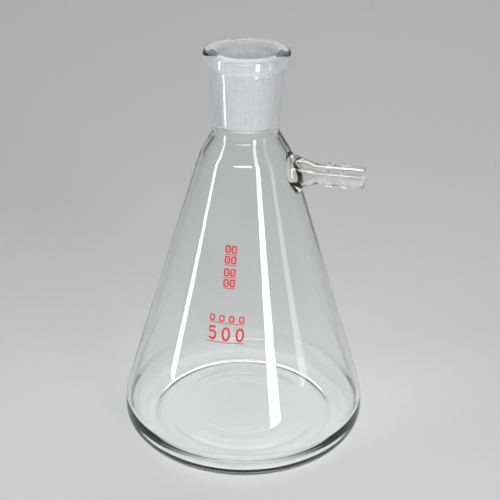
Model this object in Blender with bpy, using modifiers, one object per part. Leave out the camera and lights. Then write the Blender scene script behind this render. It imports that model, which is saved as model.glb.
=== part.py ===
"""500 ml filter flask: a conical glass body with a ground 24/29 socket and a hose nozzle on its side.

Metres, +Z up. The origin is on the flask's axis, on the table, and +X runs along the side arm.
"""

from math import asin, atan2, cos, hypot, pi, sin, tan

import bmesh
import bpy

# Body
HEIGHT = 0.174
BODY_RADIUS = 0.054
HEEL_RADIUS = 0.009
HEEL_BLEND_RADIUS = 0.033
WALL = 0.0023
FLOOR_THICKNESS = 0.0032
FLOOR_CORNER_RADIUS = 0.009
FOOT_WIDTH = 0.004
PUNT_HEIGHT = 0.0008
PUNT_SLOPE_WIDTH = 0.002

# Shoulder, where the cone turns up into the neck
SHOULDER_STEP = 0.0049
SHOULDER_HEIGHT = 0.0082
SHOULDER_FILLET = 0.015
NECK_FILLET = 0.005
NECK_LENGTH = 0.0018
NECK_WALL = 0.0025

# Ground socket, standard taper 24/29
BORE_DIAMETER = 0.024
BORE_LENGTH = 0.029
BORE_TAPER = 0.1
LIP_DEPTH = 0.0015
SKIRT_LENGTH = 0.0025
SOCKET_WALL_LOW = 0.00325
SOCKET_WALL_HIGH = 0.00365
BEAD_WIDTH = 0.00235
BEAD_HEIGHT = 0.007
BEAD_UNDERSIDE = 0.0026
BEAD_ROUNDING = 0.0019
RIM_FLAT_WIDTH = 0.0016

# Side arm and hose nozzle
ARM_BELOW_SEAM = 0.0182
ARM_REACH = 0.0288
ARM_HOLE_RADIUS = 0.0046
ARM_BORE_RADIUS = 0.003
SHANK_RADIUS = 0.00413
SHANK_END_BEFORE_TIP = 0.0168
CONE_LENGTH = 0.0088
CONE_RISE = 0.00282
WELD_LENGTH = 0.0031
WELD_RISE = 0.0030
WELD_SWEEP = 75 * pi / 180
BARB_RADII = (0.00515, 0.00487)
BARB_VALLEY_RADIUS = 0.00447
BARB_RAMP = 0.0019
BARB_PITCH = 0.0062
NOZZLE_TIP_RADIUS = 0.00395
TIP_ROUNDING = 0.0005

# Fired enamel marks on the side that faces -Y, a quarter turn from the arm
ENAMEL_THICKNESS = 0.0003
ENAMEL_STROKE = 0.0006
CAPACITY_FIGURES = "500"
CAPACITY_BASE = 0.0610
CAPACITY_SIZE = (0.0034, 0.0062)
CAPACITY_PITCH = 0.0058
GLASS_MARK_BASE = 0.0688
GLASS_MARK_SIZE = (0.0022, 0.0030)
GLASS_MARK_PITCH = 0.0041
JOINT_MARK_BASES = (0.0964, 0.0922, 0.0872, 0.0830)
JOINT_MARK_SIZE = (0.0019, 0.0034)
JOINT_MARK_PITCH = 0.0026

# Fits
GAP = 0.0003

# Fineness of the turned shapes
BODY_STEPS = 64
SOCKET_STEPS = 48
ARM_STEPS = 32
ARC_STEPS = 5

BORE_TOP = HEIGHT - LIP_DEPTH
BORE_BOTTOM = BORE_TOP - BORE_LENGTH
BORE_TOP_RADIUS = BORE_DIAMETER / 2
BORE_BOTTOM_RADIUS = BORE_TOP_RADIUS - BORE_TAPER * BORE_LENGTH / 2
SEAM = BORE_BOTTOM - SKIRT_LENGTH
NECK_RADIUS = BORE_BOTTOM_RADIUS + SOCKET_WALL_LOW
NECK_CORNER = (NECK_RADIUS, SEAM - NECK_LENGTH)
SHOULDER_CORNER = (NECK_RADIUS + SHOULDER_STEP, NECK_CORNER[1] - SHOULDER_HEIGHT)
ARM_HEIGHT = SEAM - ARM_BELOW_SEAM


def arc(centre, radius, start, end, steps=ARC_STEPS):
    """Points on an arc, both ends included; a pair of radii makes an elliptical one."""
    across, up = radius if isinstance(radius, tuple) else (radius, radius)
    turn = (end - start) / steps
    return [
        (centre[0] + across * cos(start + turn * i), centre[1] + up * sin(start + turn * i))
        for i in range(steps + 1)
    ]


def fillet(before, corner, after, radius, steps=ARC_STEPS):
    """The arc of this radius that rounds the corner between two straight runs."""
    to_before = (before[0] - corner[0], before[1] - corner[1])
    to_after = (after[0] - corner[0], after[1] - corner[1])
    a = atan2(to_before[1], to_before[0])
    b = atan2(to_after[1], to_after[0])
    between = (b - a + pi) % (2 * pi) - pi
    reach = radius / abs(tan(between / 2))
    middle = a + between / 2
    out = radius / abs(sin(between / 2))
    centre = (corner[0] + out * cos(middle), corner[1] + out * sin(middle))
    first = (corner[0] + reach * cos(a), corner[1] + reach * sin(a))
    last = (corner[0] + reach * cos(b), corner[1] + reach * sin(b))
    start = atan2(first[1] - centre[1], first[0] - centre[0])
    end = atan2(last[1] - centre[1], last[0] - centre[0])
    turn = (end - start + pi) % (2 * pi) - pi
    return arc(centre, radius, start, start + turn, steps)


def heel_tangent():
    """Centre of the arc above the heel, and the angle at which the cone's straight side leaves it."""
    centre = (BODY_RADIUS - HEEL_BLEND_RADIUS, HEEL_RADIUS)
    away = (SHOULDER_CORNER[0] - centre[0], SHOULDER_CORNER[1] - centre[1])
    angle = atan2(away[1], away[0]) - pi / 2 + asin(HEEL_BLEND_RADIUS / hypot(*away))
    return centre, angle


def cone_foot():
    centre, angle = heel_tangent()
    return (centre[0] + HEEL_BLEND_RADIUS * cos(angle), centre[1] + HEEL_BLEND_RADIUS * sin(angle))


def cone_radius(height):
    """Outer radius of the cone's straight side, produced past its ends."""
    foot = cone_foot()
    slope = (foot[0] - SHOULDER_CORNER[0]) / (SHOULDER_CORNER[1] - foot[1])
    return foot[0] - slope * (height - foot[1])


def offset(path, distance):
    """The path moved sideways, to the left of its direction."""
    moved = []
    for i, point in enumerate(path):
        before = path[max(i - 1, 0)]
        after = path[min(i + 1, len(path) - 1)]
        along = (after[0] - before[0], after[1] - before[1])
        length = hypot(*along)
        moved.append((point[0] - distance * along[1] / length, point[1] + distance * along[0] / length))
    return moved


def body_side():
    """Outer side from the top of the neck down to the widest place."""
    centre, angle = heel_tangent()
    top = (NECK_RADIUS, SEAM - GAP / 2)
    return (
        [top]
        + fillet(top, NECK_CORNER, SHOULDER_CORNER, NECK_FILLET)
        + fillet(NECK_CORNER, SHOULDER_CORNER, cone_foot(), SHOULDER_FILLET, 3)
        + arc(centre, HEEL_BLEND_RADIUS, angle, 0, 3)
    )


def body_profile():
    """Inside from the middle of the floor up to the neck, then outside down to the middle of the base."""
    side = body_side()
    floor = PUNT_HEIGHT + FLOOR_THICKNESS
    inside = [point for point in offset(side, -WALL) if point[1] > floor + FLOOR_CORNER_RADIUS]
    inside[0] = (NECK_RADIUS - NECK_WALL, side[0][1])
    corner_centre = (BODY_RADIUS - WALL - FLOOR_CORNER_RADIUS, floor + FLOOR_CORNER_RADIUS)
    corner = arc(corner_centre, FLOOR_CORNER_RADIUS, -pi / 2, 0)
    heel_centre = (BODY_RADIUS - HEEL_RADIUS, HEEL_RADIUS)
    heel = arc(heel_centre, HEEL_RADIUS, 0, -pi / 2)
    foot_inside = BODY_RADIUS - HEEL_RADIUS - FOOT_WIDTH
    foot = [(foot_inside, 0), (foot_inside - PUNT_SLOPE_WIDTH, PUNT_HEIGHT), (0, PUNT_HEIGHT)]
    return [(0, floor)] + corner + inside[::-1] + side + heel[1:] + foot


def socket_profile():
    """A closed ring, from the rim's flat out and down, and back up the bore."""
    bead_radius = BORE_TOP_RADIUS - BORE_TAPER * BEAD_HEIGHT / 2 + SOCKET_WALL_HIGH + BEAD_WIDTH
    wall_top = (bead_radius - BEAD_WIDTH, HEIGHT - BEAD_HEIGHT)
    bottom = (NECK_RADIUS, SEAM + GAP / 2)
    flat_outer = bead_radius - BEAD_ROUNDING
    flat_inner = flat_outer - RIM_FLAT_WIDTH
    skirt_radius = NECK_RADIUS - NECK_WALL
    outer_round = arc((flat_outer, HEIGHT - BEAD_ROUNDING), BEAD_ROUNDING, pi / 2, 0)
    below_bead = (bead_radius, wall_top[1] + BEAD_UNDERSIDE)
    lip = arc((flat_inner, BORE_TOP), (flat_inner - BORE_TOP_RADIUS, LIP_DEPTH), pi, pi / 2)
    return (
        outer_round
        + [below_bead, wall_top, bottom]
        + [(skirt_radius, bottom[1]), (skirt_radius, BORE_BOTTOM - SKIRT_LENGTH / 3)]
        + [(BORE_BOTTOM_RADIUS, BORE_BOTTOM)]
        + lip
    )


def arm_seam():
    return cone_radius(ARM_HEIGHT) + ARM_REACH - SHANK_END_BEFORE_TIP


def arm_profile():
    """A closed ring along the arm, from the shank's end back through the flare and into the wall."""
    end = arm_seam() - GAP / 2
    cone_start = end - (SHANK_END_BEFORE_TIP - CONE_LENGTH) / 3
    cone_end = cone_start - CONE_LENGTH
    widest = SHANK_RADIUS + CONE_RISE + WELD_RISE
    inner_end = cone_radius(ARM_HEIGHT + widest) - 2 * WALL
    weld = arc((cone_end, widest), (WELD_LENGTH, WELD_RISE), -pi / 2, -pi / 2 - WELD_SWEEP)
    outer = [(end, SHANK_RADIUS), (cone_start, SHANK_RADIUS)] + weld + [(inner_end, widest)]
    bore = [(inner_end, ARM_HOLE_RADIUS), (cone_end, ARM_HOLE_RADIUS)]
    bore += [(cone_start - CONE_LENGTH / 4, ARM_BORE_RADIUS), (end, ARM_BORE_RADIUS)]
    return [(radius, along) for along, radius in outer + bore]


def nozzle_profile():
    """A closed ring along the nozzle, from the tip back over the two barbs, then out through the bore."""
    tip = cone_radius(ARM_HEIGHT) + ARM_REACH
    start = arm_seam() + GAP / 2
    second = start + BARB_RAMP + BARB_PITCH
    outer = arc((tip - TIP_ROUNDING, NOZZLE_TIP_RADIUS - TIP_ROUNDING), TIP_ROUNDING, 0, pi / 2, 3)
    outer += [(second + BARB_RAMP * 2, (BARB_RADII[1] + NOZZLE_TIP_RADIUS) / 2)]
    outer += [(second, BARB_RADII[1])]
    outer += [(second - BARB_RAMP * 1.4, BARB_VALLEY_RADIUS)]
    outer += [(start + BARB_RAMP, BARB_RADII[0])]
    outer += [(start, SHANK_RADIUS)]
    bore = [(start, ARM_BORE_RADIUS), (tip, ARM_BORE_RADIUS)]
    return [(radius, along) for along, radius in outer + bore]


def material(name, colour, roughness, transmission):
    made = bpy.data.materials.new(name)
    made.use_nodes = True
    shader = made.node_tree.nodes["Principled BSDF"]
    shader.inputs["Base Color"].default_value = (*colour, 1)
    shader.inputs["Roughness"].default_value = roughness
    shader.inputs["Metallic"].default_value = 0
    shader.inputs["IOR"].default_value = 1.47
    shader.inputs["Transmission Weight"].default_value = transmission
    return made


def mesh_object(name, collection, points, edges):
    mesh = bpy.data.meshes.new(name)
    mesh.from_pydata(points, edges, [])
    made = bpy.data.objects.new(name, mesh)
    collection.objects.link(made)
    return made


def turned(name, collection, profile, steps, closed=False):
    """A profile of (radius, height) turned about Z; a closed one makes a ring."""
    edges = [(i, i + 1) for i in range(len(profile) - 1)]
    if closed:
        edges.append((len(profile) - 1, 0))
    made = mesh_object(name, collection, [(radius, 0, height) for radius, height in profile], edges)
    screw = made.modifiers.new("Turn", "SCREW")
    screw.steps = steps
    screw.render_steps = steps
    screw.use_merge_vertices = True
    screw.merge_threshold = 0.00001
    screw.use_smooth_shade = True
    return made


def boolean(target, other, operation):
    cut = target.modifiers.new(other.name, "BOOLEAN")
    cut.operation = operation
    cut.object = other
    return cut


def helper(made):
    made.hide_render = True
    made.display_type = "WIRE"
    return made


def finish(made, colour_material):
    made.data.materials.append(colour_material)
    return made


def along_arm(made):
    """Lays a shape turned about Z along the side arm."""
    made.location = (0, 0, ARM_HEIGHT)
    made.rotation_euler = (0, pi / 2, 0)
    return made


def conical_body(parts, cutters):
    body = turned("conical_body", parts, body_profile(), BODY_STEPS)
    depth = 2 * (ARM_HOLE_RADIUS + 2 * WALL)
    start = cone_radius(ARM_HEIGHT) - depth / 2
    drill = [(0, start + depth), (ARM_HOLE_RADIUS, start + depth), (ARM_HOLE_RADIUS, start), (0, start)]
    boolean(body, along_arm(helper(turned("arm_hole_drill", cutters, drill, ARM_STEPS))), "DIFFERENCE")
    return finish(body, material("clear_glass_body", (0.9, 0.94, 0.93), 0.02, 1))


def ground_socket(parts):
    socket = turned("ground_socket", parts, socket_profile(), SOCKET_STEPS, closed=True)
    return finish(socket, material("ground_glass", (0.8, 0.81, 0.83), 0.55, 0.6))


def side_arm(parts, cutters):
    arm = along_arm(turned("side_arm", parts, arm_profile(), ARM_STEPS, closed=True))
    skin = offset(body_side(), GAP)
    hollow = [(0, skin[0][1])] + skin + [(0, skin[-1][1])]
    boolean(arm, helper(turned("arm_seat_cutter", cutters, hollow, BODY_STEPS)), "DIFFERENCE")
    return finish(arm, material("clear_glass_arm", (0.9, 0.94, 0.93), 0.02, 1))


def hose_nozzle(parts):
    nozzle = along_arm(turned("hose_nozzle", parts, nozzle_profile(), ARM_STEPS, closed=True))
    return finish(nozzle, material("clear_glass_nozzle", (0.9, 0.94, 0.93), 0.02, 1))


def row_outline(figures, size, pitch):
    """Outline and holes of a row that stands on its line: 5 is a figure, 0 and o are open frames."""
    width, height = size
    stroke = ENAMEL_STROKE
    middle = (height + stroke) / 2
    half = pitch * (len(figures) - 1) / 2 + width / 2 + stroke
    outline = [(-half, stroke), (-half, 0), (half, 0), (half, stroke)]
    holes = []
    for place in reversed(range(len(figures))):
        left = pitch * (place - (len(figures) - 1) / 2) - width / 2
        right = left + width
        if figures[place] == "5":
            outline += [(right, stroke), (right, middle + stroke / 2), (left + stroke, middle + stroke / 2)]
            outline += [(left + stroke, height - stroke), (right, height - stroke), (right, height)]
            outline += [(left, height), (left, middle - stroke / 2)]
            outline += [(right - stroke, middle - stroke / 2), (right - stroke, stroke)]
        else:
            outline += [(right, stroke), (right, height), (left, height), (left, stroke)]
            sides = (left + stroke, right - stroke)
            holes.append([(sides[0], stroke), (sides[1], stroke)])
            holes[-1] += [(sides[1], height - stroke), (sides[0], height - stroke)]
    return [outline] + holes


def stencil(name, cutters, outlines, base, depth):
    """A solid block of the outlines, standing upright across the front of the cone."""
    curve = bpy.data.curves.new(name, "CURVE")
    curve.dimensions = "2D"
    curve.fill_mode = "BOTH"
    curve.extrude = depth / 2
    for outline in outlines:
        spline = curve.splines.new("POLY")
        spline.points.add(len(outline) - 1)
        for point, (across, up) in zip(spline.points, outline):
            point.co = (across, up, 0, 1)
        spline.use_cyclic_u = True
    drawn = bpy.data.objects.new(name + "_outline", curve)
    cutters.objects.link(drawn)
    drawn.location = (0, -cone_radius(base), base)
    drawn.rotation_euler = (pi / 2, 0, 0)
    bpy.context.view_layer.update()
    graph = bpy.context.evaluated_depsgraph_get()
    mesh = bpy.data.meshes.new_from_object(drawn.evaluated_get(graph))
    welded = bmesh.new()
    welded.from_mesh(mesh)
    bmesh.ops.remove_doubles(welded, verts=welded.verts, dist=0.000001)
    bmesh.ops.recalc_face_normals(welded, faces=welded.faces)
    welded.to_mesh(mesh)
    welded.free()
    block = bpy.data.objects.new(name, mesh)
    block.matrix_world = drawn.matrix_world
    cutters.objects.link(block)
    bpy.data.objects.remove(drawn)
    return helper(block)


def enamel_mark(name, figures, size, pitch, base, parts, cutters):
    """A thin layer round the cone, kept only where the stencil lets it through."""
    margin = ENAMEL_STROKE
    low, high = base - margin, base + size[1] + margin
    slant = (cone_radius(low) - cone_radius(high)) / (high - low)
    near = GAP * hypot(1, slant)
    far = (GAP + ENAMEL_THICKNESS) * hypot(1, slant)
    ring = [(cone_radius(high) + near, high), (cone_radius(high) + far, high)]
    ring += [(cone_radius(low) + far, low), (cone_radius(low) + near, low)]
    mark = turned(name, parts, ring, BODY_STEPS, closed=True)
    block = stencil(name + "_stencil", cutters, row_outline(figures, size, pitch), base, 0.016)
    boolean(mark, block, "INTERSECT")
    return finish(mark, material(name + "_enamel", (0.72, 0.05, 0.05), 0.35, 0))


def collection(name):
    made = bpy.data.collections.new(name)
    bpy.context.scene.collection.children.link(made)
    return made


def build():
    for left_over in list(bpy.data.objects):
        bpy.data.objects.remove(left_over)
    parts = collection("filter_flask")
    cutters = collection("cutters")
    conical_body(parts, cutters)
    ground_socket(parts)
    side_arm(parts, cutters)
    hose_nozzle(parts)
    enamel_mark("capacity_mark", CAPACITY_FIGURES, CAPACITY_SIZE, CAPACITY_PITCH, CAPACITY_BASE, parts, cutters)
    enamel_mark("glass_mark", "oooo", GLASS_MARK_SIZE, GLASS_MARK_PITCH, GLASS_MARK_BASE, parts, cutters)
    for number, base in enumerate(JOINT_MARK_BASES, 1):
        enamel_mark(f"joint_mark_{number}", "oo", JOINT_MARK_SIZE, JOINT_MARK_PITCH, base, parts, cutters)


build()
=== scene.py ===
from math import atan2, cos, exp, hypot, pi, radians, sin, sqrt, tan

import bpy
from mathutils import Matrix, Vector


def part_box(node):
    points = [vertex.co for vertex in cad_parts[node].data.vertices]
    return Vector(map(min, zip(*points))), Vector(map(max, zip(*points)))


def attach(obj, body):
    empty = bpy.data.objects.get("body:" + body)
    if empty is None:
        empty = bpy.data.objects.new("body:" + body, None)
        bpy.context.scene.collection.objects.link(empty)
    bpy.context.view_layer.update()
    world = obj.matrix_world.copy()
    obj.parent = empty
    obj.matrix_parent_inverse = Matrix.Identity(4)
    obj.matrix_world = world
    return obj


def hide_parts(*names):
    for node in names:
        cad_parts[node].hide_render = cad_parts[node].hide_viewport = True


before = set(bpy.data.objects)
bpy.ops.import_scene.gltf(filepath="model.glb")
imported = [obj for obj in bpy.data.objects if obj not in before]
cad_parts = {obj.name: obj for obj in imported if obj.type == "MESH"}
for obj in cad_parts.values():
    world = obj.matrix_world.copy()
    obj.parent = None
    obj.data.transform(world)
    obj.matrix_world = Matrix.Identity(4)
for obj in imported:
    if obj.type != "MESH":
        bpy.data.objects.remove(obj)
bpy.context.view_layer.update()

# A 500 ml filter flask in clear glass with a ground socket, a side arm for a hose and fired red marks.
# Lengths are in metres. Angles are in radians, but those given to the lights are in degrees.

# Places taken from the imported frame; a seam lies midway between the two pieces that are fused there
RIM_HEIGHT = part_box("ground_socket")[1].z
BODY_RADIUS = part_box("conical_body")[1].x
SEAM = (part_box("conical_body")[1].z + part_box("ground_socket")[0].z) / 2
ARM_HEIGHT = (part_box("hose_nozzle")[0].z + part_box("hose_nozzle")[1].z) / 2
ARM_SEAM = (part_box("side_arm")[1].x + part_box("hose_nozzle")[0].x) / 2
NOZZLE_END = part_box("hose_nozzle")[1].x

# Blown body; a point on an outline is (radius, height)
WALL = 0.0023
FLOOR = 0.0040
FLOOR_CORNER = 0.009
HEEL = 0.009
HEEL_BLEND = 0.033
FOOT_INSIDE = 0.041
PUNT = 0.0008
NECK_RADIUS = 0.0138
NECK_WALL = 0.0025
NECK_CORNER = (NECK_RADIUS, SEAM - 0.0018)
SHOULDER = (0.0187, SEAM - 0.0100)
SHOULDER_ROUND = 0.015
NECK_ROUND = 0.005
UNDERSIDE = [
    (FOOT_INSIDE, 0.0), (FOOT_INSIDE - 0.0007, 0.00012), (FOOT_INSIDE - 0.0020, PUNT),
    (0.0375, 0.00092), (0.0358, 0.00100), (0.0344, 0.00088), (0.0332, 0.00072), (0.0320, 0.00078),
    (0.0300, 0.00094), (0.0270, 0.00100), (0.0200, 0.00104), (0.0120, 0.00106), (0, 0.00106),
]
# The soft rings inside the base: radius, width, rise
FLOOR_RINGS = ((0.0205, 0.0013, 0.00029), (0.0300, 0.0014, 0.00034), (0.0352, 0.0011, -0.00022))
WALL_WANDER = 0.00012
FLOOR_WANDER = 0.00010

# Ground socket
BORE_TOP = (0.0120, RIM_HEIGHT - 0.0015)
BORE_BOTTOM = (0.01055, BORE_TOP[1] - 0.029)
BEAD_RADIUS = 0.01765
BEAD_ROUND = 0.0019
BEAD_LOW = RIM_HEIGHT - 0.0047
BEAD_LOW_ROUND = 0.0012
WALL_TOP = (0.0153, RIM_HEIGHT - 0.0063)
WALL_TOP_ROUND = 0.0014
TOOL_RING = 0.0046
TOOL_STEP = 0.00010
TOOL_FADE = 0.0007
RIM_FLAT = 0.0016
SKIRT = 0.0009
SKIRT_ROUND = 0.0006

# Side arm; a point on an outline is (distance from the arm's axis, distance along it from the flask's axis)
SHANK = 0.00413
SHANK_EASE = 0.008
FLARE_START = 0.03035
FLARE_SLOPE = 0.3205
WELD_EDGE = 0.0094
ARM_HOLE = 0.0046
HOLE_MOUTH = 0.0074
ARM_BORE = 0.0030
THROAT_FOOT = (ARM_HOLE, 0.0236)
THROAT_WIDE = (ARM_HOLE, 0.0245)
THROAT_NARROW = (ARM_BORE, 0.0288)
THROAT_ROUND = 0.004

# Hose end; each point of the barbs is (radius, distance from the seam)
BARBS = (
    (SHANK, 0.0), (0.00414, 0.0002), (0.00424, 0.0005), (0.00490, 0.0008), (0.00516, 0.0012),
    (0.00522, 0.0018), (0.00513, 0.0025), (0.00486, 0.0036), (0.00459, 0.0048), (0.00443, 0.0058),
    (0.00442, 0.0064), (0.00452, 0.0067), (0.00492, 0.0070), (0.00509, 0.0075), (0.00511, 0.0081),
    (0.00501, 0.0089), (0.00478, 0.0102), (0.00459, 0.0118), (0.00445, 0.0137), (0.00436, 0.0154),
)
BARB_WANDER = 0.00006
TIP_RADIUS = 0.00424
TIP_ROUND = 0.00060
BORE_LIP = 0.0003
PRESSED_RINGS = (0.0008, 0.0069, 0.0162)
PRESSED_WIDTH = 0.0006

# Glass
GLASS_IOR = 1.474
COOL_TINT = (0.975, 0.988, 0.984)
ARM_TINT = (0.985, 0.990, 0.982)
WARM_TINT = (0.985, 0.945, 0.915)
WARM_PLACE = 0.0245
WARM_WIDTH = 0.0065
LIGHT_PASSED = (0.84, 0.85, 0.845)

# Enamel marks. FILM is half of the film's thickness, and its middle stands FILM_LIFT times that off the glass.
# A size is (width, height), and a base is how high a row starts.
FILM = 0.0000315
FILM_LIFT = 1.15
STROKE_WANDER = 0.10
FIGURE_SIZE = (0.0036, 0.0057)
FIGURE_PITCH = 0.0058
FIGURE_STROKE = 0.00082
FIGURE_RISE = 0.0008
BLOCK_CORNER = 0.0005
BLOCK_RISE = 0.0007
DOT_HALF = 0.00022
JOINT_BASES = (0.0964, 0.0922, 0.0872, 0.0830)

# Modelling: half of the hairline at a fused seam, how near points are to be merged, and the steps round each piece
JOIN = 0.00001
MERGE = 0.000001
BODY_TURNS = 176
SOCKET_TURNS = 144
ARM_TURNS = 96

# Lights
FLASK_MIDDLE = 0.085
LIGHT_CLEARANCE = 0.004


# ---------------------------------------------------------------- outlines


def arc(centre, radius, start, end, steps):
    """Points along an arc, both ends included."""
    return [
        (centre[0] + radius * cos(start + (end - start) * i / steps),
         centre[1] + radius * sin(start + (end - start) * i / steps))
        for i in range(steps + 1)
    ]


def rounded(before, corner, after, radius, steps=6):
    """The arc of this radius that rounds a corner between two straight runs."""
    a = atan2(before[1] - corner[1], before[0] - corner[0])
    b = atan2(after[1] - corner[1], after[0] - corner[0])
    between = (b - a + pi) % (2 * pi) - pi
    out = radius / abs(sin(between / 2))
    reach = radius / abs(tan(between / 2))
    middle = a + between / 2
    centre = (corner[0] + out * cos(middle), corner[1] + out * sin(middle))
    start = atan2(corner[1] + reach * sin(a) - centre[1], corner[0] + reach * cos(a) - centre[0])
    end = atan2(corner[1] + reach * sin(b) - centre[1], corner[0] + reach * cos(b) - centre[0])
    turn = (end - start + pi) % (2 * pi) - pi
    return arc(centre, radius, start, start + turn, steps)


def run(a, b, steps):
    """Points between a and b, neither end included."""
    return [(a[0] + (b[0] - a[0]) * i / steps, a[1] + (b[1] - a[1]) * i / steps) for i in range(1, steps)]


def sideways(path, distance):
    """The path moved to the left of its direction."""
    moved = []
    for i, point in enumerate(path):
        before, after = path[max(i - 1, 0)], path[min(i + 1, len(path) - 1)]
        along = (after[0] - before[0], after[1] - before[1])
        length = hypot(*along)
        moved.append((point[0] - distance * along[1] / length, point[1] + distance * along[0] / length))
    return moved


def body_outside():
    """Outer side of the body, from the top of the neck down to the widest place. The cone's straight side just
    touches the arc that blends it into the heel."""
    blend = (BODY_RADIUS - HEEL_BLEND, HEEL)
    away = (SHOULDER[0] - blend[0], SHOULDER[1] - blend[1])
    lean = atan2(away[1], away[0]) - pi / 2 + atan2(HEEL_BLEND, sqrt(hypot(*away) ** 2 - HEEL_BLEND**2))
    cone_foot = (blend[0] + HEEL_BLEND * cos(lean), blend[1] + HEEL_BLEND * sin(lean))
    top = (NECK_RADIUS, SEAM - JOIN)
    neck = rounded(top, NECK_CORNER, SHOULDER, NECK_ROUND, 8)
    shoulder = rounded(NECK_CORNER, SHOULDER, cone_foot, SHOULDER_ROUND, 8)
    heel_blend = arc(blend, HEEL_BLEND, lean, 0, 8)
    cone = run(shoulder[-1], cone_foot, 26)
    return [top] + neck + run(neck[-1], shoulder[0], 2) + shoulder + cone + heel_blend


def soft_curve(points, steps):
    """A smooth curve through the points."""
    made = []
    for i in range(len(points) - 1):
        before, a, b, after = points[max(i - 1, 0)], points[i], points[i + 1], points[min(i + 2, len(points) - 1)]
        for j in range(steps):
            t = j / steps
            made.append(tuple(
                0.5 * (2 * q + (r - p) * t + (2 * p - 5 * q + 4 * r - s) * t * t + (3 * q - p - 3 * r + s) * t**3)
                for p, q, r, s in zip(before, a, b, after)
            ))
    return made + [points[-1]]


def about_flask(radius, height, angle):
    """A point at this angle round the flask's axis."""
    return (radius * cos(angle), radius * sin(angle), height)


def about_arm(radius, along, angle):
    """A point at this angle round the side arm's axis."""
    return (along, radius * cos(angle), ARM_HEIGHT + radius * sin(angle))


def outer_radius(height):
    """Radius of the body's outside at a height."""
    for (r1, z1), (r2, z2) in zip(OUTSIDE, OUTSIDE[1:]):
        if z2 <= height <= z1 and z1 > z2:
            return r1 + (r2 - r1) * (z1 - height) / (z1 - z2)
    return OUTSIDE[0][0] if height > OUTSIDE[0][1] else OUTSIDE[-1][0]


OUTSIDE = body_outside()
HEEL_ARC = arc((BODY_RADIUS - HEEL, HEEL), HEEL, 0, -pi / 2, 14)


# ---------------------------------------------------------------- modelling


def clear_selection():
    if bpy.context.mode != "OBJECT":
        bpy.ops.object.mode_set(mode="OBJECT")
    bpy.ops.object.select_all(action="DESELECT")


def take(piece):
    """Selects this piece and no other."""
    clear_selection()
    piece.select_set(True)
    bpy.context.view_layer.objects.active = piece


def give(piece, *finishes):
    """Gives a piece its materials; faces stay on the first until they are painted."""
    piece.data.materials.clear()
    for finish in finishes:
        piece.data.materials.append(finish)


def named(name):
    """Names the active object and its mesh."""
    piece = bpy.context.object
    piece.name = piece.data.name = name
    return piece


def spun(name, rings, turns, place, closed=True):
    """Spins a straight chain of points into a tube round Z, then sets each ring in its place. place takes a ring's
    number and an angle. A closed chain runs back into its start; one that isn't closed has both ends on the axis."""
    clear_selection()
    # The chain's step and radius are any that keep its points apart, because every point is moved afterwards
    step, radius = 0.001, 0.1
    bpy.ops.mesh.primitive_circle_add(vertices=rings, radius=radius)
    piece = named(name)
    for ring, point in enumerate(piece.data.vertices):
        point.co = (radius, 0, ring * step)
    bpy.ops.object.mode_set(mode="EDIT")
    if not closed:
        bpy.ops.mesh.select_all(action="DESELECT")
        bpy.ops.object.mode_set(mode="OBJECT")
        for edge in piece.data.edges:
            edge.select = set(edge.vertices) == {0, rings - 1}
        bpy.ops.object.mode_set(mode="EDIT")
        bpy.ops.mesh.delete(type="EDGE")
    bpy.ops.mesh.select_all(action="SELECT")
    bpy.ops.mesh.spin(steps=turns, angle=2 * pi, center=(0, 0, 0), axis=(0, 0, 1), use_auto_merge=True)
    bpy.ops.mesh.select_all(action="SELECT")
    bpy.ops.mesh.remove_doubles(threshold=MERGE)
    bpy.ops.object.mode_set(mode="OBJECT")
    number = piece.data.attributes.new("ring", "INT", "POINT").data
    for point, mark in zip(piece.data.vertices, number):
        mark.value = round(point.co.z / step)
        point.co = place(mark.value, atan2(point.co.y, point.co.x))
    closing = {
        face.index for face in piece.data.polygons
        if {number[v].value for v in face.vertices} == {0, rings - 1}
    }
    band = piece.data.attributes.new("band", "INT", "FACE").data
    for face in piece.data.polygons:
        band[face.index].value = -1 if face.index in closing else min(number[v].value for v in face.vertices)
    bpy.ops.object.mode_set(mode="EDIT")
    bpy.ops.mesh.select_all(action="SELECT")
    bpy.ops.mesh.remove_doubles(threshold=MERGE / 2)
    bpy.ops.mesh.normals_make_consistent(inside=False)
    bpy.ops.object.mode_set(mode="OBJECT")
    return piece


def paint(piece, chosen, slot_number):
    """Gives some faces of a spun piece the material in that slot. chosen takes the number of the ring that a face
    starts from, which is -1 where the last ring runs back into the first."""
    for face, band in zip(piece.data.polygons, piece.data.attributes["band"].data):
        if chosen(band.value):
            face.material_index = slot_number


def smooth(piece, degrees=35):
    """Smooth shading up to this angle; the numbers that spun left on the mesh aren't needed after it."""
    take(piece)
    bpy.ops.object.shade_smooth_by_angle(angle=radians(degrees))
    for left_over in ("ring", "band"):
        if left_over in piece.data.attributes:
            piece.data.attributes.remove(piece.data.attributes[left_over])


def cut(piece, other):
    """Cuts one piece with another, which is used up; new faces keep the other's material."""
    take(piece)
    modifier = piece.modifiers.new("Cut", "BOOLEAN")
    modifier.operation = "DIFFERENCE"
    modifier.object = other
    modifier.solver = "EXACT"
    modifier.material_mode = "TRANSFER"
    bpy.ops.object.modifier_apply(modifier="Cut")
    bpy.data.objects.remove(other)


def drill(name, radius, start, end, end_radius=None):
    """A round bar along the side arm's axis, tapered where an end radius is given."""
    clear_selection()
    bpy.ops.mesh.primitive_cone_add(
        vertices=ARM_TURNS, radius1=radius, radius2=end_radius or radius, depth=end - start,
        location=((start + end) / 2, 0, ARM_HEIGHT), rotation=(0, pi / 2, 0),
    )
    bpy.ops.object.transform_apply(location=True, rotation=True, scale=True)
    return named(name)


# ---------------------------------------------------------------- materials


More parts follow.
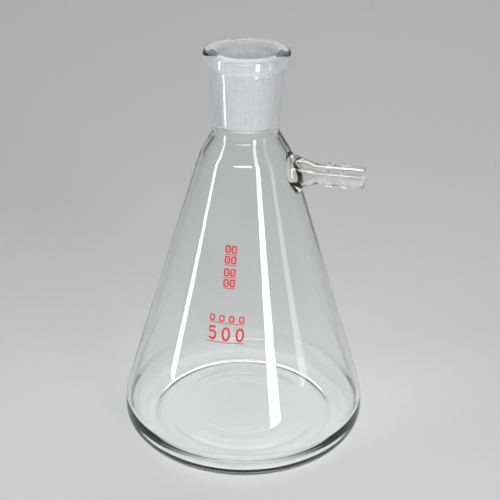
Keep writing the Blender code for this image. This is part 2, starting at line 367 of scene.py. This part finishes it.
class Value:
    """A socket of a finish; sums on it add Math nodes."""

    def __init__(self, finish, socket):
        self.finish = finish
        self.socket = socket

    def math(self, operation, *items):
        """A Math node on these items, each a value or a number."""
        numbered = {f"i{number}": item for number, item in enumerate(items)}
        return self.finish.node("ShaderNodeMath", {"operation": operation}, **numbered)

    def __add__(self, other):
        return self.math("ADD", self, other)

    __radd__ = __add__

    def __sub__(self, other):
        return self.math("SUBTRACT", self, other)

    def __rsub__(self, other):
        return self.math("SUBTRACT", other, self)

    def __mul__(self, other):
        return self.math("MULTIPLY", self, other)

    __rmul__ = __mul__

    def __truediv__(self, other):
        return self.math("DIVIDE", self, other)

    def __rtruediv__(self, other):
        return self.math("DIVIDE", other, self)

    def __pow__(self, other):
        return self.math("POWER", self, other)

    def __rpow__(self, other):
        return self.math("POWER", other, self)

    def __abs__(self):
        return self.math("ABSOLUTE", self)

    def at_least(self, lowest):
        return self.math("MAXIMUM", self, lowest)

    def near(self, middle, width):
        """1 at the middle, fading to 0 at this distance from it."""
        return (1 - abs(self - middle) / width).at_least(0.0)


class Finish:
    """A material on one Principled shader; constants go on the shader's own sockets."""

    def __init__(self, name, **constants):
        self.material = bpy.data.materials.new(name)
        self.material.use_nodes = True
        self.tree = self.material.node_tree
        self.shader = self.tree.nodes["Principled BSDF"]
        for socket, value in constants.items():
            self.shader.inputs[socket.replace("_", " ")].default_value = value
        self.place = self.node("ShaderNodeTexCoord", output="Object")

    def node(self, kind, settings=None, output=0, **sockets):
        """Any node, from its type, its settings and the values or links of its sockets. A socket goes by its name,
        with _ for a space, or by i and its number."""
        made = self.tree.nodes.new(kind)
        for setting, value in (settings or {}).items():
            setattr(made, setting, value)
        for socket, value in sockets.items():
            target = made.inputs[int(socket[1:]) if socket[1:].isdigit() else socket.replace("_", " ")]
            if isinstance(value, Value):
                self.tree.links.new(value.socket, target)
            else:
                target.default_value = value
        return Value(self, made.outputs[output])

    def noise(self, scale, detail=2.0, place=None, roughness=0.5):
        return self.node(
            "ShaderNodeTexNoise", output="Fac", Vector=place or self.place, Scale=scale, Detail=detail,
            Roughness=roughness,
        )

    def mix(self, share, first, second):
        """A colour that goes from the first to the second as the share goes from 0 to 1."""
        first, second = (item if isinstance(item, Value) else (*item, 1) for item in (first, second))
        return self.node("ShaderNodeMix", {"data_type": "RGBA"}, output=2, i0=share, i6=first, i7=second)

    def stretched(self, scale):
        return self.node("ShaderNodeMapping", Vector=self.place, Scale=scale)

    def split(self, vector):
        """The three parts of a vector."""
        first = self.node("ShaderNodeSeparateXYZ", Vector=vector)
        return [Value(self, output) for output in first.socket.node.outputs]

    def bump(self, height, distance, strength):
        return self.node("ShaderNodeBump", Height=height, Distance=distance, Strength=strength)

    def pass_lamps(self, colour):
        """Lets a share of each lamp's light through, so that what stands behind the glass is lit."""
        both = self.node(
            "ShaderNodeMixShader",
            i0=self.node("ShaderNodeLightPath", output="Is Shadow Ray"),
            i1=Value(self, self.shader.outputs[0]),
            i2=self.node("ShaderNodeBsdfTransparent", Color=(*colour, 1)),
        )
        self.tree.links.new(both.socket, self.tree.nodes["Material Output"].inputs["Surface"])

    def feed(self, **links):
        """Links values to the shader's sockets and gives back the material."""
        for socket, value in links.items():
            self.tree.links.new(value.socket, self.shader.inputs[socket.replace("_", " ")])
        return self.material


def clear_glass(name, tint, smear_scale, wave_scale=34.0, wave_depth=0.0006, worked=False):
    """Fire-polished borosilicate: faintly tinted, a little wavy, with the lightest smears. Glass worked with tools
    has a faint warmth in the flare and dull rings where the barbs were pressed."""
    made = Finish(name, Transmission_Weight=1.0, IOR=GLASS_IOR)
    made.pass_lamps(LIGHT_PASSED)
    smear = made.noise(scale=smear_scale, detail=3.0)
    wave = made.noise(scale=wave_scale, detail=1.0, place=made.stretched((1.0, 1.0, 0.45)))
    colour = made.mix(smear, tint, (1.0, 1.0, 1.0))
    dull = ((smear - 0.55) * 0.12).at_least(0.0)
    if worked:
        along = made.split(made.place)[0]
        colour = made.mix(along.near(WARM_PLACE, WARM_WIDTH), colour, WARM_TINT)
        for ring in PRESSED_RINGS:
            dull = dull + 0.34 * along.near(ARM_SEAM + ring, PRESSED_WIDTH)
    return made.feed(Base_Color=colour, Roughness=dull, Normal=made.bump(wave, distance=wave_depth, strength=0.22))


def frosted(name):
    """The ground bore: white and matt, with fine scratches that run down it and faint rings round it."""
    made = Finish(name, Transmission_Weight=0.40, IOR=GLASS_IOR)
    across, deep, up = made.split(made.place)
    radius = (across * across + deep * deep) ** 0.5
    around = made.node("ShaderNodeCombineXYZ", X=across / radius, Y=deep / radius, Z=up * 9.0)
    streak = made.noise(scale=26.0, detail=4.0, place=around, roughness=0.62)
    ring = made.noise(scale=1.0, place=made.stretched((12.0, 12.0, 900.0)))
    grain = made.noise(scale=5200.0)
    tone = 0.5 + (streak - 0.5) * 1.1 + (ring - 0.5) * 0.5 + (grain - 0.5) * 0.4
    return made.feed(
        Base_Color=made.mix(tone, (0.33, 0.34, 0.365), (0.62, 0.63, 0.66)),
        Roughness=0.42 + tone * 0.26,
        Normal=made.bump(grain * 0.6 + streak * 0.4, distance=0.00004, strength=0.6),
    )


def fired_enamel(name):
    """Thin red enamel, a little patchy, with a satin skin."""
    made = Finish(name, IOR=1.5)
    patch = made.noise(scale=1300.0, detail=3.0)
    grain = made.noise(scale=9000.0)
    return made.feed(
        Base_Color=made.mix(patch, (0.36, 0.004, 0.008), (0.60, 0.014, 0.020)),
        Roughness=0.30 + patch * 0.3,
        Normal=made.bump(grain, distance=0.00001, strength=0.5),
    )


def fused_joint(name):
    """A finish that can't be seen, for the faces where two glass pieces run into each other."""
    return Finish(name, Alpha=0.0, Roughness=1.0).material


def pale_floor(name):
    """Matt pale board, very slightly uneven."""
    made = Finish(name, Specular_IOR_Level=0.25)
    cloud = made.noise(scale=3.0, detail=3.0)
    tooth = made.noise(scale=900.0)
    return made.feed(
        Base_Color=made.mix(cloud, (0.53, 0.53, 0.53), (0.56, 0.56, 0.556)),
        Roughness=0.75 + tooth * 0.15,
        Normal=made.bump(tooth, distance=0.0001, strength=0.25),
    )


# ---------------------------------------------------------------- glass pieces


def hand_wave(angle, height):
    """How much a blown wall wanders from true, from -1 to 1."""
    broad = 0.5 * sin(2 * angle + 0.7 + 14 * height)
    return broad + 0.3 * sin(5 * angle - 31 * height) + 0.2 * sin(3 * angle + 70 * height)


def floor_ripple(radius):
    """How far the soft rings inside the base rise at this radius."""
    return sum(rise * exp(-((radius - place) / width) ** 2) for place, width, rise in FLOOR_RINGS)


def blown_body():
    """The cone, its heel and floor, with the hole and the weld seat for the side arm."""
    inside = [point for point in sideways(OUTSIDE, -WALL) if point[1] > FLOOR + FLOOR_CORNER]
    inside[0] = (NECK_RADIUS - NECK_WALL, SEAM - JOIN)
    corner = arc((BODY_RADIUS - WALL - FLOOR_CORNER, FLOOR + FLOOR_CORNER), FLOOR_CORNER, -pi / 2, 0, 14)
    inner = [(0, FLOOR)] + run((0, FLOOR), corner[0], 42) + corner + inside[::-1]
    section = inner + OUTSIDE + HEEL_ARC[1:] + UNDERSIDE
    last_inner = len(inner) - 1

    def place(ring, angle):
        radius, height = section[ring]
        if ring < last_inner and radius > 0:
            radius += WALL_WANDER * hand_wave(angle, height)
            if height <= FLOOR:
                height += FLOOR_WANDER * hand_wave(angle, radius) + floor_ripple(radius)
        return about_flask(radius, height, angle)

    body = spun("glass_body", len(section), BODY_TURNS, place, closed=False)

    # The seat is the skin of the wall that the arm's weld covers: a bar along the arm, less the cone under the skin
    seat = drill("weld_seat", WELD_EDGE, start=0.012, end=0.030)
    skin = [(radius - 2 * JOIN, height) for radius, height in OUTSIDE]
    under = [(0, skin[0][1])] + skin + [(0, skin[-1][1])]
    core = spun(
        "seat_core", len(under), BODY_TURNS, lambda ring, angle: about_flask(*under[ring], angle), closed=False,
    )
    for each in (body, core, seat):
        give(each, CLEAR, FUSED)
    for each in (core, seat):
        for face in each.data.polygons:
            face.material_index = 1
    paint(body, lambda band: band == last_inner, 1)
    cut(seat, core)
    cut(body, seat)

    hole = drill("arm_hole", ARM_HOLE, start=0.008, end=0.030)
    mouth = drill("hole_mouth", HOLE_MOUTH, start=0.0155, end=0.0222, end_radius=ARM_HOLE)
    for each in (hole, mouth):
        give(each, CLEAR)
        cut(body, each)
    smooth(body)
    return body


def ground_socket():
    """The thick socket with its fire-polished bead. Its bore is ground, and there is a soft tool step round its
    wall."""
    flat_outer = BEAD_RADIUS - BEAD_ROUND
    flat_inner = flat_outer - RIM_FLAT
    bottom = (NECK_RADIUS, SEAM + JOIN)
    low = (BEAD_RADIUS, BEAD_LOW)
    side = (BEAD_RADIUS, RIM_HEIGHT - BEAD_ROUND)
    outer = arc((flat_outer, RIM_HEIGHT - BEAD_ROUND), BEAD_ROUND, pi / 2, 0, 12)
    outer += rounded(side, low, WALL_TOP, BEAD_LOW_ROUND, 8)
    outer += rounded(low, WALL_TOP, bottom, WALL_TOP_ROUND, 8)
    for radius, height in run(outer[-1], bottom, 80):
        below = (WALL_TOP[1] - TOOL_RING - height) / TOOL_FADE
        outer.append((radius + TOOL_STEP / (1 + exp(min(below * 4, 60))), height))
    outer.append(bottom)
    skirt = (NECK_RADIUS - NECK_WALL, BORE_BOTTOM[1] - SKIRT)
    inner = [(skirt[0], bottom[1])] + rounded((skirt[0], bottom[1]), skirt, BORE_BOTTOM, SKIRT_ROUND, 4)
    bore_start = len(outer) + len(inner)
    inner += [BORE_BOTTOM] + run(BORE_BOTTOM, BORE_TOP, 20)
    bore_end = len(outer) + len(inner)
    lip_width, lip_height = flat_inner - BORE_TOP[0], RIM_HEIGHT - BORE_TOP[1]
    lip_turns = [pi - i * pi / 16 for i in range(9)]
    lip = [(flat_inner + lip_width * cos(turn), BORE_TOP[1] + lip_height * sin(turn)) for turn in lip_turns]
    section = outer + inner + lip
    last_outer = len(outer) - 1
    socket = spun(
        "glass_socket", len(section), SOCKET_TURNS, lambda ring, angle: about_flask(*section[ring], angle),
    )
    give(socket, CLEAR_THICK, FROSTED, FUSED)
    paint(socket, lambda band: bore_start <= band < bore_end, 1)
    paint(socket, lambda band: band == last_outer, 2)
    smooth(socket)
    return socket


def wall_reach(radius, angle):
    """How far along the arm the body's outside is, at a distance from the arm's axis."""
    height = ARM_HEIGHT + radius * sin(angle)
    return sqrt(outer_radius(height) ** 2 - (radius * cos(angle)) ** 2)


def flare_meets_wall(angle):
    """Where the flare's straight side, carried on, would reach the body: (radius, distance along the arm)."""
    low, high = 0.010, FLARE_START
    # Each step halves the range
    for _ in range(40):
        middle = (low + high) / 2
        radius = SHANK + (FLARE_START - middle) * FLARE_SLOPE
        if middle > wall_reach(radius, angle):
            high = middle
        else:
            low = middle
    return (SHANK + (FLARE_START - low) * FLARE_SLOPE, low)


def side_arm():
    """The flared tube, run into the cone with a weld that is rounded all the way round."""
    end = ARM_SEAM - JOIN
    throat = [THROAT_FOOT] + rounded(THROAT_FOOT, THROAT_WIDE, THROAT_NARROW, THROAT_ROUND, 4)
    throat += rounded(THROAT_WIDE, THROAT_NARROW, (ARM_BORE, end), THROAT_ROUND, 4) + [(ARM_BORE, end)]
    weld_steps, flare_steps, root_steps = 10, 6, 5
    on_flare = (SHANK + 0.003, FLARE_START - 0.003 / FLARE_SLOPE)
    shank = [(SHANK, end)] + rounded((SHANK, end), (SHANK, FLARE_START), on_flare, SHANK_EASE, 5)
    sections = {}

    def section(angle):
        """The arm's outline at this angle, whose inner end follows the cone."""
        if angle in sections:
            return sections[angle]
        corner = flare_meets_wall(angle)
        edge = (WELD_EDGE, wall_reach(WELD_EDGE, angle) - JOIN)
        reach = hypot(edge[0] - corner[0], edge[1] - corner[1])
        slant = hypot(FLARE_SLOPE, 1)
        weld_start = (corner[0] - reach * FLARE_SLOPE / slant, corner[1] + reach / slant)
        points = shank + run(shank[-1], weld_start, flare_steps)
        for i in range(weld_steps + 1):
            t = i / weld_steps
            points.append(tuple((1 - t) ** 2 * s + 2 * t * (1 - t) * c + t * t * e
                                for s, c, e in zip(weld_start, corner, edge)))
        for i in range(1, root_steps + 1):
            radius = WELD_EDGE + (ARM_HOLE - WELD_EDGE) * i / root_steps
            points.append((radius, wall_reach(radius, angle) - JOIN))
        sections[angle] = points + throat
        return sections[angle]

    last_outer = len(shank) - 1 + flare_steps + weld_steps
    arm = spun(
        "glass_arm", len(section(0.0)), ARM_TURNS,
        lambda ring, angle: about_arm(*section(round(angle, 9))[ring], angle),
    )
    give(arm, CLEAR_ARM, FUSED)
    paint(arm, lambda band: last_outer <= band < last_outer + root_steps or band == -1, 1)
    smooth(arm)
    return arm


def hose_nozzle():
    """The hose end, with two soft barbs and a melted lip."""
    start = ARM_SEAM + JOIN
    outside = soft_curve([(radius, start + along) for radius, along in BARBS], 3)
    lip = arc((TIP_RADIUS - TIP_ROUND, NOZZLE_END - TIP_ROUND), TIP_ROUND, 0, pi / 2, 6)
    inner_lip = arc((ARM_BORE + BORE_LIP, NOZZLE_END - BORE_LIP), BORE_LIP, pi / 2, pi, 4)
    bore = run((ARM_BORE, NOZZLE_END - BORE_LIP), (ARM_BORE, start), 8) + [(ARM_BORE, start)]
    section = outside + lip + inner_lip + bore

    def place(ring, angle):
        radius, along = section[ring]
        if 0 < ring < len(outside):
            radius += BARB_WANDER * sin(angle * 2 + along * 900) * min(1, (along - start) / 0.002)
        return about_arm(radius, along, angle)

    nozzle = spun("glass_nozzle", len(section), ARM_TURNS, place)
    give(nozzle, CLEAR_ARM, FUSED)
    paint(nozzle, lambda band: band == -1, 1)
    smooth(nozzle)
    return nozzle


# ---------------------------------------------------------------- enamel marks


def block(centre, width, height, low, stroke):
    """The path of a small open block with rounded corners. Like the other paths here it lies half a stroke inside
    the width and height, so that the stroke fills them."""
    half, top = width / 2 - stroke / 2, low + height - stroke / 2
    low += stroke / 2
    path = []
    for across, up, start in ((half, low, -pi / 2), (half, top, 0), (-half, top, pi / 2), (-half, low, pi)):
        side = BLOCK_CORNER if across > 0 else -BLOCK_CORNER
        rise = BLOCK_CORNER if up == low else -BLOCK_CORNER
        path += arc((centre + across - side, up + rise), BLOCK_CORNER, start, start + pi / 2, 4)
    return path


def oval(centre, width, height, low, stroke, steps=28):
    """The path of a nought."""
    half, tall = width / 2 - stroke / 2, height / 2 - stroke / 2
    turns = [2 * pi * i / steps for i in range(steps)]
    return [(centre + half * cos(turn), low + height / 2 + tall * sin(turn)) for turn in turns]


def figure_five(centre, width, height, low, stroke):
    """A five: its flag and stem, then the round of its belly."""
    half, top, bottom = width / 2 - stroke / 2, low + height - stroke / 2, low + stroke / 2
    belly = height * 0.29
    path = [(half * 0.92, top), (0.0, top), (-half * 0.80, top), (-half * 0.88, low + height * 0.56)]
    path += [(-half * 0.45, low + height * 0.61)]
    path += [
        (0.05 * half + half * 0.95 * cos(a), bottom + belly + belly * sin(a))
        for a in (pi * 0.40, pi * 0.27, pi * 0.13, 0, -pi * 0.13, -pi * 0.27, -pi * 0.40, -pi * 0.5, -pi * 0.62)
    ]
    path += [(-half * 0.95, bottom + belly * 0.42)]
    return [(centre + across, up) for across, up in path]


def fired_row(name, strokes, base):
    """Rounded strokes laid flat, then wrapped round the front of the cone as a thin film that starts at a height.
    Each stroke is a path, its width, and whether it runs back into its start."""
    curve = bpy.data.curves.new(name, "CURVE")
    curve.dimensions = "3D"
    curve.bevel_resolution = 2
    curve.use_fill_caps = True
    curve.bevel_depth = 1.0
    for path, width, is_closed in strokes:
        spline = curve.splines.new("POLY")
        spline.points.add(len(path) - 1)
        for i, (point, (across, up)) in enumerate(zip(spline.points, path)):
            point.co = (across, up, 0, 1)
            point.radius = width / 2 * (1 + STROKE_WANDER * sin(i * 1.7 + across * 2000))
        spline.use_cyclic_u = is_closed
    row = bpy.data.objects.new(name, curve)
    bpy.context.scene.collection.objects.link(row)
    take(row)
    bpy.ops.object.convert(target="MESH")
    row = named(name)
    widest = max(point.co.z for point in row.data.vertices)
    for point in row.data.vertices:
        across, up, out = point.co
        height = base + up
        radius = outer_radius(height) + FILM * (FILM_LIFT + out / widest)
        turn = across / radius
        point.co = (radius * sin(turn), -radius * cos(turn), height)
    bpy.ops.object.mode_set(mode="EDIT")
    bpy.ops.mesh.select_all(action="SELECT")
    bpy.ops.mesh.remove_doubles(threshold=MERGE)
    bpy.ops.mesh.fill_holes(sides=0)
    bpy.ops.mesh.normals_make_consistent(inside=False)
    bpy.ops.object.mode_set(mode="OBJECT")
    give(row, ENAMEL)
    smooth(row, 60)
    return row


def line(half, up, width, steps=12):
    """The thin line that a row stands on."""
    return [([(-half + 2 * half * i / steps, up) for i in range(steps + 1)], width, False)]


def capacity_row():
    """The capacity in plain figures, on a line."""
    shape = (*FIGURE_SIZE, FIGURE_RISE, FIGURE_STROKE)
    strokes = [(figure_five(-FIGURE_PITCH, *shape), FIGURE_STROKE, False)]
    strokes += [(oval(centre, *shape), FIGURE_STROKE, True) for centre in (0.0, FIGURE_PITCH)]
    return fired_row("enamel_capacity", strokes + line(half=0.0079, up=0.00018, width=0.00034), base=0.0610)


def plain_row(name, count, size, pitch, base, stroke, dotted=False):
    """A row of plain open blocks on a thin line, each with a dot in its middle if the row is dotted."""
    centres = [pitch * (i - (count - 1) / 2) for i in range(count)]
    strokes = [(block(centre, *size, BLOCK_RISE, stroke), stroke, True) for centre in centres]
    if dotted:
        middle = BLOCK_RISE + size[1] / 2
        for centre in centres:
            dot = [(centre - DOT_HALF, middle), (centre, middle), (centre + DOT_HALF, middle)]
            strokes.append((dot, stroke, False))
    half = (count - 1) * pitch / 2 + size[0] / 2 + 0.0002
    return fired_row(name, strokes + line(half, up=0.0002, width=0.00032), base)


# ---------------------------------------------------------------- studio


def studio():
    """A wide pale floor, just under the flask, and dim even air."""
    clear_selection()
    bpy.ops.mesh.primitive_grid_add(x_subdivisions=8, y_subdivisions=8, size=8, location=(0, 0, -0.00005))
    bpy.ops.object.transform_apply(location=True, rotation=True, scale=True)
    floor = named("studio_floor")
    give(floor, pale_floor("pale_floor"))

    world = bpy.data.worlds.new("studio_air")
    bpy.context.scene.world = world
    world.use_nodes = True
    air = world.node_tree.nodes["Background"].inputs
    air["Color"].default_value = (0.97, 0.98, 1.0, 1)
    air["Strength"].default_value = 0.18
    bpy.context.scene.view_settings.view_transform = "Standard"


def lamp(name, place, tilt, azimuth, width, height, brightness, spread=180):
    """A rectangular light, turned to face the flask; brightness is its radiance where its spread is 180."""
    light = bpy.data.lights.new(name, "AREA")
    light.shape = "RECTANGLE"
    light.size, light.size_y = width, height
    light.energy = brightness * pi * width * height
    light.spread = radians(spread)
    holder = bpy.data.objects.new(name, light)
    bpy.context.scene.collection.objects.link(holder)
    holder.location = place
    holder.rotation_euler = (pi / 2 - tilt, 0, azimuth)
    holder.visible_camera = False
    return holder


def softbox(name, azimuth, elevation, distance, width, height, brightness):
    """A light in this direction from the middle of the flask, in degrees."""
    a, e = radians(azimuth), radians(elevation)
    across, up = distance * cos(e), FLASK_MIDDLE + distance * sin(e)
    lamp(name, (across * sin(a), -across * cos(a), up), e, a, width, height, brightness)


def strip_light(name, azimuth, distance, width, height, brightness):
    """A tall narrow light that stands upright just over the floor, in this direction in degrees. It is mirrored in
    the glass but not seen through it."""
    a = radians(azimuth)
    place = (distance * sin(a), -distance * cos(a), height / 2 + LIGHT_CLEARANCE)
    lamp(name, place, 0, a, width, height, brightness, spread=110).visible_transmission = False


def aim_camera():
    """Stands off to the front and a little to the arm's side, looking down."""
    azimuth, pitch, yaw, roll = 0.19481, 0.47419, 0.00503, 0.01217
    distance, height, focal = 0.43899, 0.30950, 82.086
    data = bpy.data.cameras.new("camera")
    data.sensor_width, data.lens = 36, focal
    data.clip_start, data.clip_end = 0.01, 20
    camera = bpy.data.objects.new("camera", data)
    bpy.context.scene.collection.objects.link(camera)
    camera.matrix_world = (
        Matrix.Translation((distance * sin(azimuth), -distance * cos(azimuth), height))
        @ Matrix.Rotation(azimuth - yaw, 4, "Z")
        @ Matrix.Rotation(pi / 2 - pitch, 4, "X")
        @ Matrix.Rotation(roll, 4, "Z")
    )
    bpy.context.scene.camera = camera


# ---------------------------------------------------------------- the flask

aim_camera()

CLEAR = clear_glass("clear_glass_body", COOL_TINT, smear_scale=55.0)
CLEAR_THICK = clear_glass("clear_glass_socket", COOL_TINT, smear_scale=140.0)
CLEAR_ARM = clear_glass(
    "clear_glass_arm", ARM_TINT, smear_scale=180.0, wave_scale=210.0, wave_depth=0.0005, worked=True,
)
FROSTED = frosted("ground_bore")
FUSED = fused_joint("fused_joint")
ENAMEL = fired_enamel("fired_red_enamel")

PIECES = [
    (blown_body(), "conical_body", "clear_glass"),
    (ground_socket(), "ground_socket", "ground_glass"),
    (side_arm(), "side_arm", "clear_glass"),
    (hose_nozzle(), "hose_nozzle", "clear_glass"),
    (capacity_row(), "capacity_mark", "red_enamel"),
    (plain_row(
        "enamel_glass_row", count=4, size=(0.0023, 0.0027), pitch=0.0041, base=0.0688, stroke=0.00058,
    ), "glass_mark", "red_enamel"),
]
for number, base in enumerate(JOINT_BASES, 1):
    row = plain_row(
        f"enamel_joint_row_{number}", count=2, size=(0.0023, 0.0031), pitch=0.0026, base=base, stroke=0.00062,
        dotted=True,
    )
    PIECES.append((row, f"joint_mark_{number}", "red_enamel"))

for piece, node, finish in PIECES:
    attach(piece, "root")
    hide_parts(node)

studio()
# Upright strips, for the long highlights down the cone
strip_light("right_strip", azimuth=39.5, distance=0.40, width=0.066, height=0.46, brightness=7.5)
strip_light("right_fill_strip", azimuth=73, distance=0.42, width=0.060, height=0.42, brightness=1.3)
strip_light("left_strip", azimuth=-62, distance=0.30, width=0.028, height=0.36, brightness=8)
# A bar in front, for the short highlights at the neck, and two broad soft lights
softbox("front_bar", azimuth=4, elevation=27, distance=1.10, width=0.80, height=0.10, brightness=14)
softbox("overhead", azimuth=165, elevation=76, distance=1.20, width=1.40, height=1.40, brightness=1.35)
softbox("back_wash", azimuth=180, elevation=30, distance=1.30, width=2.00, height=0.80, brightness=0.85)
